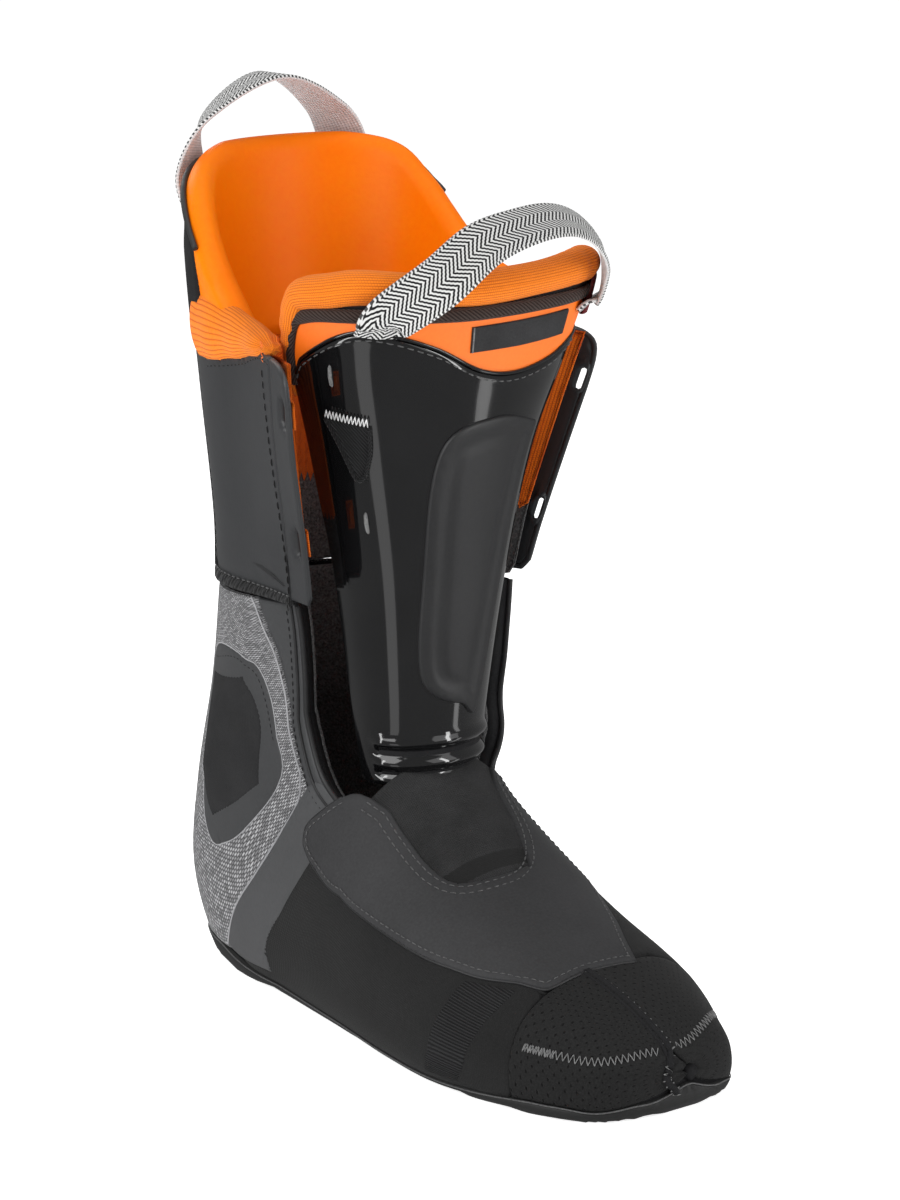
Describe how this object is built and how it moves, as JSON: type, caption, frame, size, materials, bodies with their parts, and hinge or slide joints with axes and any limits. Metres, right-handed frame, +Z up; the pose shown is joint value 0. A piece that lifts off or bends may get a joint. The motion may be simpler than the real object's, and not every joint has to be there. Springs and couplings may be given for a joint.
{
  "type": "ski boot liner",
  "caption": "Soft removable inner boot for an alpine ski boot, right foot, with a plastic-faced tongue, stiff cuff flaps, padded collar and webbing pull loops.",
  "frame": {"origin": "middle of the outline at the ground, under the sole", "axes": "+Z up, toe points to -Y, lateral (outer) side of the foot is -X"},
  "size_m": [0.152, 0.2857, 0.3582],
  "materials": {
    "rubber": "matte",
    "black_stretch": "matte",
    "foam": "matte",
    "fleece": "matte",
    "charcoal_pu": "satin",
    "grey_woven": "matte",
    "film": "satin",
    "orange_foam": "matte",
    "orange_knit": "matte",
    "rust_lining": "matte",
    "gloss_shell": "gloss",
    "shin_pu": "matte",
    "maroon_trim": "matte",
    "webbing": "matte"
  },
  "bodies": {
    "liner": {"outsole": "rubber", "footbed": "foam", "foot_lining": "fleece", "foot_foam": "foam", "toe_panel_lateral": "black_stretch", "toe_panel_medial": "black_stretch", "forefoot_cover": "black_stretch", "instep_gusset": "black_stretch", "vamp_overlay": "charcoal_pu", "throat_band_lateral": "black_stretch", "throat_band_medial": "black_stretch", "quarter_lateral": "grey_woven", "quarter_medial": "grey_woven", "ankle_film_lateral": "film", "ankle_film_medial": "film", "ankle_pad_lateral": "black_stretch", "ankle_pad_medial": "black_stretch", "side_film_lateral": "film", "side_film_medial": "film", "cuff_foam": "foam", "cuff_lining_lower": "fleece", "cuff_lining_upper": "rust_lining", "cuff_hem": "black_stretch", "spine_panel": "charcoal_pu", "rear_collar": "orange_foam", "cuff_panel_lateral": "charcoal_pu", "cuff_panel_medial": "charcoal_pu", "collar_roll_lateral": "orange_knit", "collar_roll_medial": "orange_knit"},
    "tongue": {"tongue_lining": "orange_foam", "tongue_foam": "foam", "tongue_shell": "gloss_shell", "tongue_cover": "orange_foam", "tongue_binding": "maroon_trim", "tongue_roll": "orange_knit", "tongue_label": "black_stretch", "tongue_side_tab": "maroon_trim", "shin_plate": "shin_pu", "lace_keeper": "black_stretch"},
    "flap_lateral": {"flap_lateral": "charcoal_pu"},
    "flap_medial": {"flap_medial": "charcoal_pu"},
    "front_loop": {"front_loop": "webbing"},
    "rear_loop": {"rear_loop": "webbing"}
  },
  "joints": [
    {"name": "tongue_fold", "type": "hinge", "parent": "liner", "child": "tongue", "pos_m": [0, -0.0054, 0.101], "axis": [1, 0, 0], "range_deg": [0, 60], "stiffness_Nm_per_rad": 0.6},
    {"name": "flap_lateral_open", "type": "hinge", "parent": "liner", "child": "flap_lateral", "pos_m": [-0.0593, 0.0232, 0.2212], "axis": [0.1621, 0.1111, -0.9805], "range_deg": [0, 30], "stiffness_Nm_per_rad": 0.1},
    {"name": "flap_medial_open", "type": "hinge", "parent": "liner", "child": "flap_medial", "pos_m": [0.0584, 0.0217, 0.2211], "axis": [0.1999, -0.11, 0.9736], "range_deg": [0, 30], "stiffness_Nm_per_rad": 0.1},
    {"name": "front_loop_swing", "type": "hinge", "parent": "tongue", "child": "front_loop", "pos_m": [0.0054, -0.0132, 0.274], "axis": [0.9992, -0.0386, -0.0038], "range_deg": [0, 45], "stiffness_Nm_per_rad": 0.03},
    {"name": "rear_loop_swing", "type": "hinge", "parent": "liner", "child": "rear_loop", "pos_m": [0.0133, 0.1258, 0.303], "axis": [-0.9967, 0.0806, 0], "range_deg": [0, 50], "stiffness_Nm_per_rad": 0.03}
  ]
}
